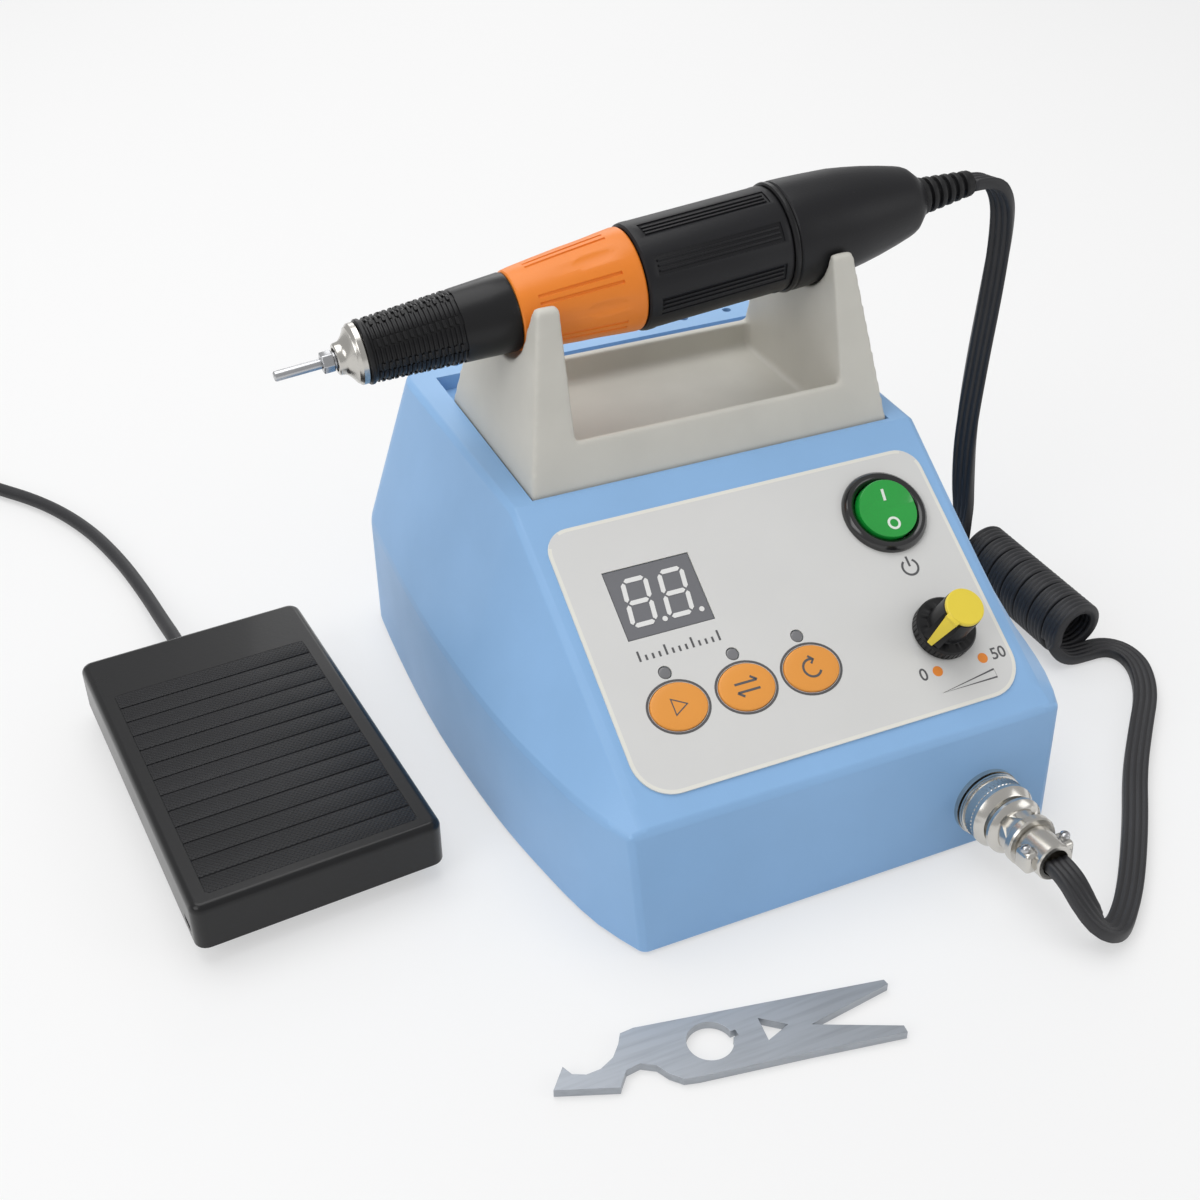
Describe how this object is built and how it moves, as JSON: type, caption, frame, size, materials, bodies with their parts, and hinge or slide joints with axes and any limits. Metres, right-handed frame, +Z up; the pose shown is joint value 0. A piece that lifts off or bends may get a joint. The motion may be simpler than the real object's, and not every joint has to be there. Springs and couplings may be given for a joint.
{
  "type": "micromotor drill set",
  "caption": "Bench micromotor set: control unit with a handpiece resting in its cradle, a foot pedal on a cord and a flat wrench.",
  "frame": {"origin": "on the table under the middle of the control unit's footprint", "axes": "+X to the right of the front panel, +Y to the rear, +Z up"},
  "size_m": [0.4036, 0.3495, 0.1281],
  "materials": {
    "blue_plastic": "satin moulded",
    "grey_plastic": "satin moulded",
    "black_plastic": "satin",
    "gloss_black": "gloss",
    "label_film": "satin film",
    "display_window": "gloss",
    "white_plastic": "satin",
    "orange_plastic": "satin",
    "button_orange": "satin",
    "green_plastic": "gloss translucent",
    "yellow_plastic": "satin",
    "nickel": "bright nickel",
    "steel": "ground",
    "copper_wound": "lacquered",
    "magnet": "matte",
    "board": "solder mask",
    "rubber": "matte",
    "cord_sheath": "satin",
    "brass": "plain",
    "spring_steel": "wire"
  },
  "bodies": {
    "control_unit": {"casing": "blue_plastic", "base_plate": "black_plastic", "base_screws": "steel", "feet": "rubber", "panel_overlay": "label_film", "display_module": "display_window", "display_digits": "white_plastic", "indicator_leds": "display_window", "switch_bezel": "black_plastic", "potentiometer": "steel", "front_socket": "nickel", "circuit_board": "board", "board_posts": "white_plastic", "transformer": "copper_wound", "mains_inlet": "black_plastic", "pedal_jack": "nickel", "fuse_holder": "black_plastic", "cradle": "grey_plastic", "plug_body": "nickel", "plug_clamp": "nickel", "clamp_screws": "steel", "handpiece_cord_upper": "cord_sheath", "handpiece_cord_curl": "cord_sheath", "handpiece_cord_lower": "cord_sheath", "pedal_base": "black_plastic", "pedal_pin": "steel", "pedal_spring": "spring_steel", "pedal_switch": "black_plastic", "pedal_feet": "rubber", "pedal_gland": "rubber", "pedal_cord": "cord_sheath", "pedal_cord_coil": "cord_sheath", "pedal_plug": "gloss_black"},
    "handpiece": {"nose_cone": "nickel", "front_grip": "black_plastic", "lock_sleeve": "brass", "motor_housing": "black_plastic", "flange_ring": "black_plastic", "end_cap": "black_plastic", "strain_relief": "rubber", "bearings": "steel", "field_magnets": "magnet", "brushes": "magnet", "brush_holder": "black_plastic"},
    "twist_ring": {"twist_ring": "orange_plastic"},
    "spindle": {"spindle": "steel", "rotor": "copper_wound", "collet": "steel"},
    "bur": {"bur_shank": "steel"},
    "start_button": {"start_button": "button_orange"},
    "direction_button": {"direction_button": "button_orange"},
    "mode_button": {"mode_button": "button_orange"},
    "rocker": {"switch_rocker": "green_plastic"},
    "knob": {"speed_knob": "gloss_black", "knob_pointer": "yellow_plastic", "pot_shaft": "steel"},
    "plug_ring": {"plug_ring": "nickel"},
    "treadle": {"pedal_treadle": "black_plastic", "tread_mat": "rubber"},
    "wrench": {"wrench": "steel"}
  },
  "joints": [
    {"name": "handpiece_lift", "type": "slide", "parent": "control_unit", "child": "handpiece", "axis": [0, 0, 1], "range_m": [0, 0.06], "deforming": ["handpiece_cord_upper"]},
    {"name": "collet_twist", "type": "hinge", "parent": "handpiece", "child": "twist_ring", "pos_m": [-0.0822, 0.0222, 0.1044], "axis": [0.996, 0, 0.0896], "range_deg": [0, 60]},
    {"name": "spindle_spin", "type": "hinge", "parent": "handpiece", "child": "spindle", "pos_m": [-0.0822, 0.0222, 0.1044], "axis": [0.996, 0, 0.0896], "continuous": true},
    {"name": "bur_pull", "type": "slide", "parent": "spindle", "child": "bur", "axis": [-0.996, 0, -0.0896], "range_m": [0, 0.03]},
    {"name": "start_press", "type": "slide", "parent": "control_unit", "child": "start_button", "axis": [0, 0.5261, -0.8504], "range_m": [0, 0.0005], "stiffness_N_per_m": 800, "springref_m": -0.001},
    {"name": "direction_press", "type": "slide", "parent": "control_unit", "child": "direction_button", "axis": [0, 0.5261, -0.8504], "range_m": [0, 0.0005], "stiffness_N_per_m": 800, "springref_m": -0.001},
    {"name": "mode_press", "type": "slide", "parent": "control_unit", "child": "mode_button", "axis": [0, 0.5261, -0.8504], "range_m": [0, 0.0005], "stiffness_N_per_m": 800, "springref_m": -0.001},
    {"name": "power_rocker", "type": "hinge", "parent": "control_unit", "child": "rocker", "pos_m": [0.0336, -0.02593, 0.06249], "axis": [1, 0, 0], "range_deg": [-16, 0]},
    {"name": "speed_turn", "type": "hinge", "parent": "control_unit", "child": "knob", "pos_m": [0.0338, -0.05264, 0.04503], "axis": [0, 0.5261, -0.8504], "range_deg": [0, 292]},
    {"name": "plug_ring_turn", "type": "hinge", "parent": "control_unit", "child": "plug_ring", "pos_m": [0.0353, -0.07567, 0.0118], "axis": [0, -0.9937, 0.112], "continuous": true},
    {"name": "treadle_press", "type": "hinge", "parent": "control_unit", "child": "treadle", "pos_m": [-0.11899, 0.05096, 0.0092], "axis": [0.9971, 0.0767, 0], "range_deg": [0, 2.2], "stiffness_Nm_per_rad": 6, "springref_deg": -1.72, "deforming": ["pedal_spring"]},
    {"name": "wrench_lift", "type": "slide", "parent": "control_unit", "child": "wrench", "axis": [0, 0, 1], "range_m": [0, 0.05]}
  ]
}
